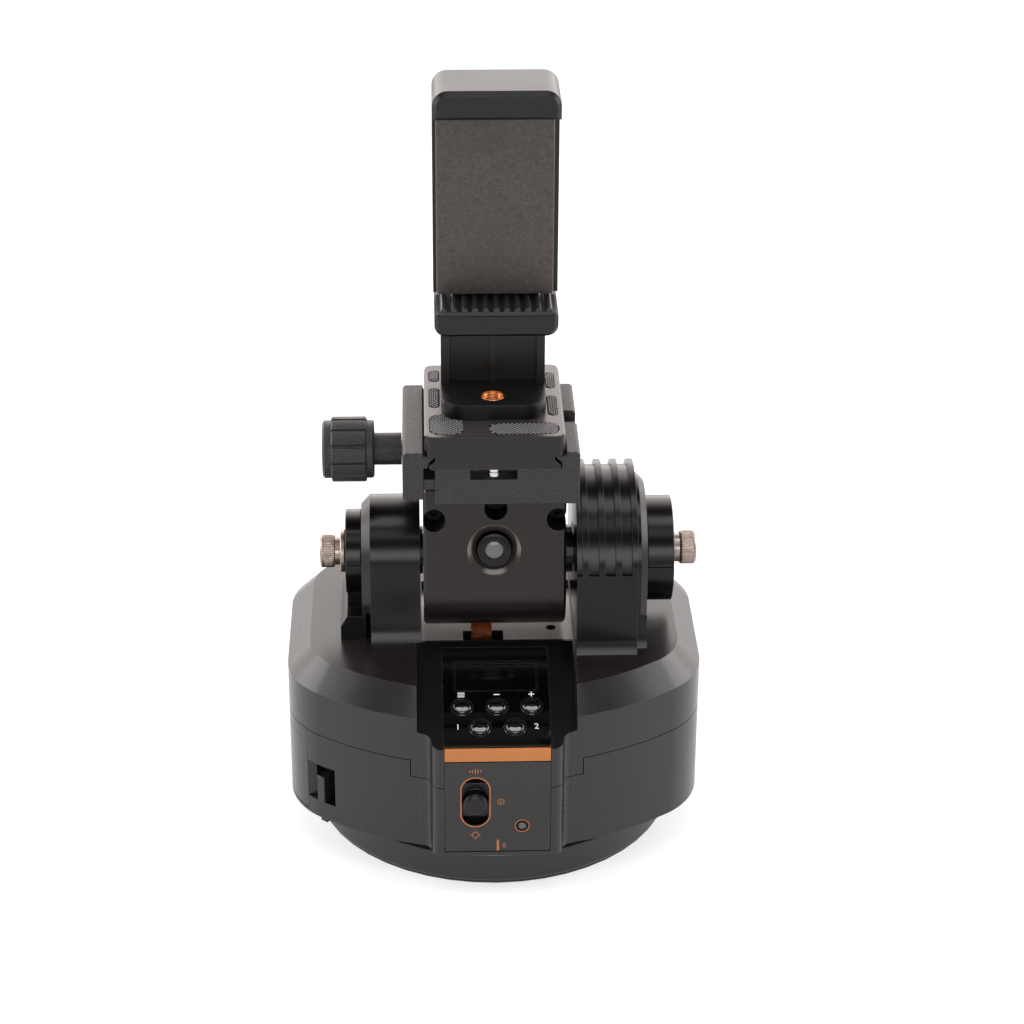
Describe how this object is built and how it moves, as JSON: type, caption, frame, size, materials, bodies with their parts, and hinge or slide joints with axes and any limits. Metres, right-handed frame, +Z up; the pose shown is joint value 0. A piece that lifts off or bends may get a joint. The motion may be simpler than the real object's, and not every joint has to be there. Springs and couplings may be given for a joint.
{
  "type": "motorised pan and tilt head",
  "caption": "Motorised pan and tilt head on a round base, with a tracking camera, a dovetail quick-release clamp and plate, and a sprung phone clip.",
  "frame": {"origin": "on the floor, on the pan axis, at the centre of the bottom of the bounding box", "axes": "+Z up, front of the head (lens and control face) towards -Y, tilt axis along X"},
  "size_m": [0.127, 0.1242, 0.2376],
  "materials": {
    "shell": "dark warm-grey moulded plastic, fine satin grain",
    "gloss_black": "smooth black plastic, satin to gloss",
    "rubber": "black rubber",
    "steel": "turned and nickel-plated steel",
    "brass": "turned brass",
    "circuit": "green circuit board",
    "battery_wrap": "blue shrink wrap",
    "screen_glass": "tinted clear plastic",
    "accent": "copper-orange satin strip",
    "clip_plastic": "satin black moulded plastic",
    "anodised": "brown-black anodised aluminium",
    "clamp_metal": "sand-blasted dark grey anodised aluminium",
    "flex_film": "amber polyimide film"
  },
  "bodies": {
    "base": {"base_disc": "shell", "base_pad": "rubber", "tripod_bush": "steel", "pan_spindle": "steel", "pan_ring_gear": "brass"},
    "pan_body": {"lower_shell": "shell", "upper_shell": "shell", "pan_bearing": "steel", "pan_motor": "steel", "main_board": "circuit", "battery_pack": "battery_wrap", "display_panel": "gloss_black", "display_screen": "screen_glass", "button_board": "circuit", "front_fascia": "shell", "accent_strip": "accent", "status_led": "screen_glass", "left_pillar": "gloss_black", "right_pillar": "gloss_black", "left_hub_cap": "gloss_black", "right_hub_cap": "gloss_black", "tilt_motor": "steel", "tilt_bearing_left": "steel", "tilt_bearing_right": "steel", "usb_port": "steel", "flex_cable": "flex_film"},
    "pan_pinion_body": {"pan_pinion": "brass"},
    "mode_switch_body": {"mode_switch": "clip_plastic"},
    "battery_door_body": {"battery_door": "shell"},
    "battery_latch_body": {"battery_latch": "shell"},
    "left_screw_body": {"left_thumb_screw": "steel"},
    "right_screw_body": {"right_thumb_screw": "steel"},
    "tilt_head": {"tilt_block": "anodised", "tilt_shaft_left": "steel", "tilt_shaft_right": "steel", "lens_barrel": "gloss_black", "lens_glass": "screen_glass", "camera_board": "circuit", "block_bolt_left": "anodised", "block_bolt_right": "anodised", "block_bolt_centre": "anodised", "clamp_base": "clamp_metal"},
    "jaw_body": {"clamp_jaw": "clamp_metal"},
    "knob_body": {"clamp_knob": "clamp_metal", "clamp_screw": "steel"},
    "plate_body": {"quick_plate": "anodised", "plate_grip": "rubber", "plate_screw": "steel", "plate_stop_pin": "steel", "clip_frame": "clip_plastic", "clip_insert": "brass", "clip_lower_pad": "rubber", "clip_spring": "steel"},
    "clip_upper_body": {"clip_upper_jaw": "clip_plastic", "clip_back_pad": "rubber"},
    "button_menu_body": {"button_menu": "gloss_black"},
    "button_minus_body": {"button_minus": "gloss_black"},
    "button_plus_body": {"button_plus": "gloss_black"},
    "button_one_body": {"button_one": "gloss_black"},
    "button_two_body": {"button_two": "gloss_black"}
  },
  "joints": [
    {"name": "pan", "type": "hinge", "parent": "base", "child": "pan_body", "pos_m": [0, 0, 0], "axis": [0, 0, 1], "continuous": true},
    {"name": "pan_pinion_spin", "type": "hinge", "parent": "pan_body", "child": "pan_pinion_body", "pos_m": [0, 0.03, 0], "axis": [0, 0, 1], "continuous": true},
    {"name": "tilt", "type": "hinge", "parent": "pan_body", "child": "tilt_head", "pos_m": [0, 0, 0.086], "axis": [1, 0, 0], "range_deg": [-35, 35], "deforming": ["flex_cable"]},
    {"name": "mode_switch_slide", "type": "slide", "parent": "pan_body", "child": "mode_switch_body", "axis": [0, 0, 1], "range_m": [-0.0042, 0.0042]},
    {"name": "battery_door_hinge", "type": "hinge", "parent": "pan_body", "child": "battery_door_body", "pos_m": [-0.0606, 0.0276, 0.026], "axis": [0, 0, -1], "range_deg": [0, 95]},
    {"name": "battery_latch_slide", "type": "slide", "parent": "pan_body", "child": "battery_latch_body", "axis": [0.7547, -0.6561, 0], "range_m": [0, 0.0012], "stiffness_N_per_m": 400},
    {"name": "left_thumb_screw_turn", "type": "hinge", "parent": "pan_body", "child": "left_screw_body", "pos_m": [-0.05, 0, 0.086], "axis": [-1, 0, 0], "continuous": true},
    {"name": "right_thumb_screw_turn", "type": "hinge", "parent": "pan_body", "child": "right_screw_body", "pos_m": [0.06, 0, 0.086], "axis": [1, 0, 0], "continuous": true},
    {"name": "clamp_knob_turn", "type": "hinge", "parent": "jaw_body", "child": "knob_body", "pos_m": [-0.043, 0, 0.1209], "axis": [-1, 0, 0], "range_deg": [0, 1440]},
    {"name": "clamp_jaw_slide", "type": "slide", "parent": "tilt_head", "child": "jaw_body", "axis": [-1, 0, 0], "range_m": [0, 0.005]},
    {"name": "plate_slide", "type": "slide", "parent": "tilt_head", "child": "plate_body", "axis": [0, 1, 0], "range_m": [-0.012, 0.012]},
    {"name": "clip_open", "type": "slide", "parent": "plate_body", "child": "clip_upper_body", "axis": [0, 0, 1], "range_m": [0, 0.027], "stiffness_N_per_m": 250, "springref_m": -0.02, "deforming": ["clip_spring"]},
    {"name": "button_menu_press", "type": "slide", "parent": "pan_body", "child": "button_menu_body", "axis": [0, 0.3304, -0.9439], "range_m": [0, 0.0005], "stiffness_N_per_m": 500},
    {"name": "button_minus_press", "type": "slide", "parent": "pan_body", "child": "button_minus_body", "axis": [0, 0.3304, -0.9439], "range_m": [0, 0.0005], "stiffness_N_per_m": 500},
    {"name": "button_plus_press", "type": "slide", "parent": "pan_body", "child": "button_plus_body", "axis": [0, 0.3304, -0.9439], "range_m": [0, 0.0005], "stiffness_N_per_m": 500},
    {"name": "button_one_press", "type": "slide", "parent": "pan_body", "child": "button_one_body", "axis": [0, 0.3304, -0.9439], "range_m": [0, 0.0005], "stiffness_N_per_m": 500},
    {"name": "button_two_press", "type": "slide", "parent": "pan_body", "child": "button_two_body", "axis": [0, 0.3304, -0.9439], "range_m": [0, 0.0005], "stiffness_N_per_m": 500}
  ],
  "couplings": [
    {"joint": "pan_pinion_spin", "follows": "pan", "ratio": 3},
    {"joint": "clamp_knob_turn", "follows": "clamp_jaw_slide", "rad_per_m": 5026.5}
  ]
}
